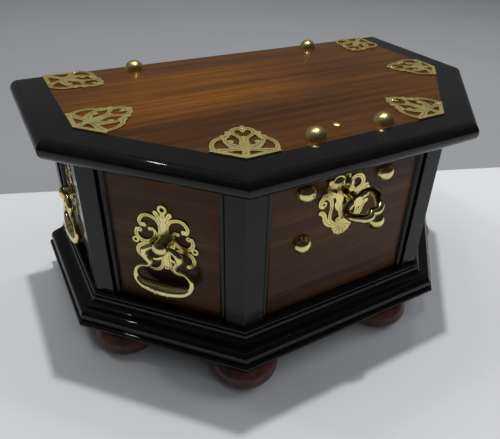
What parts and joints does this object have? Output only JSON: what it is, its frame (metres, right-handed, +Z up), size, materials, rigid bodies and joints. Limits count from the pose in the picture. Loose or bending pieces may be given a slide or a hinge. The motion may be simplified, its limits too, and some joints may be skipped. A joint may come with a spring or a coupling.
{
  "type": "money box",
  "caption": "Wooden money box with a canted front, moulded ebony edges, bun feet, hinged lid with pierced brass mounts, key lock and brass bail handles.",
  "frame": {"origin": "middle of the bounding box on the floor plane", "axes": "+X to the right along the front, +Y towards the back with the hinges, +Z up; the front with the lock faces -Y"},
  "size_m": [0.416, 0.2684, 0.207],
  "materials": {
    "lid_mahogany": "satin",
    "panel_wood": "satin",
    "ebony": "gloss",
    "foot_wood": "satin",
    "brass": "polished",
    "iron": "satin"
  },
  "bodies": {
    "box": {"floor_board": "panel_wood", "back_board": "panel_wood", "left_board": "panel_wood", "left_canted_board": "panel_wood", "front_board": "panel_wood", "right_canted_board": "panel_wood", "right_board": "panel_wood", "back_left_post": "ebony", "left_post": "ebony", "front_left_post": "ebony", "front_right_post": "ebony", "right_post": "ebony", "back_right_post": "ebony", "left_plinth": "ebony", "left_canted_plinth": "ebony", "front_plinth": "ebony", "right_canted_plinth": "ebony", "right_plinth": "ebony", "back_plinth": "ebony", "back_left_foot": "foot_wood", "left_foot": "foot_wood", "front_left_foot": "foot_wood", "front_right_foot": "foot_wood", "right_foot": "foot_wood", "back_right_foot": "foot_wood", "lock_case": "iron", "lock_plate": "brass", "lock_studs": "brass", "cover_rivet": "brass", "left_handle_plate": "brass", "left_canted_handle_plate": "brass", "right_canted_handle_plate": "brass", "right_handle_plate": "brass", "handle_bosses": "brass", "left_back_leaf": "brass", "right_back_leaf": "brass", "hinge_pins": "brass"},
    "lid": {"lid_board": "lid_mahogany", "left_lid_moulding": "ebony", "left_canted_lid_moulding": "ebony", "front_lid_moulding": "ebony", "right_canted_lid_moulding": "ebony", "right_lid_moulding": "ebony", "back_left_mount": "brass", "left_mount": "brass", "front_left_mount": "brass", "front_right_mount": "brass", "right_mount": "brass", "back_right_mount": "brass", "lid_studs": "brass", "catch_plate": "brass", "left_lid_leaf": "brass", "right_lid_leaf": "brass"},
    "bail_left": {"left_bail": "brass"},
    "bail_left_canted": {"left_canted_bail": "brass"},
    "bail_right_canted": {"right_canted_bail": "brass"},
    "bail_right": {"right_bail": "brass"},
    "key": {"key": "brass"},
    "bolt": {"lock_bolt": "iron"},
    "cover": {"keyhole_cover": "brass"}
  },
  "joints": [
    {"name": "lid_hinge", "type": "hinge", "parent": "box", "child": "lid", "pos_m": [0, 0.12985, 0.183], "axis": [-1, 0, 0], "range_deg": [0, 100]},
    {"name": "left_bail_swing", "type": "hinge", "parent": "box", "child": "bail_left", "pos_m": [-0.1877, 0.06185, 0.1145], "axis": [0, 1, 0], "range_deg": [0, 100]},
    {"name": "left_canted_bail_swing", "type": "hinge", "parent": "box", "child": "bail_left_canted", "pos_m": [-0.14099, -0.05298, 0.1145], "axis": [-0.6771, 0.7359, 0], "range_deg": [0, 100]},
    {"name": "right_canted_bail_swing", "type": "hinge", "parent": "box", "child": "bail_right_canted", "pos_m": [0.14099, -0.05298, 0.1145], "axis": [-0.6771, -0.7359, 0], "range_deg": [0, 100]},
    {"name": "right_bail_swing", "type": "hinge", "parent": "box", "child": "bail_right", "pos_m": [0.1877, 0.06185, 0.1145], "axis": [0, -1, 0], "range_deg": [0, 100]},
    {"name": "key_turn", "type": "hinge", "parent": "box", "child": "key", "pos_m": [-0.003, -0.09735, 0.151], "axis": [0, -1, 0], "range_deg": [0, 90]},
    {"name": "bolt_slide", "type": "slide", "parent": "box", "child": "bolt", "axis": [1, 0, 0], "range_m": [0, 0.01]},
    {"name": "cover_swing", "type": "hinge", "parent": "box", "child": "cover", "pos_m": [-0.003, -0.09735, 0.16], "axis": [0, -1, 0], "range_deg": [-60, 35]}
  ],
  "couplings": [
    {"joint": "bolt_slide", "follows": "key_turn", "m_per_rad": 0.006366}
  ]
}
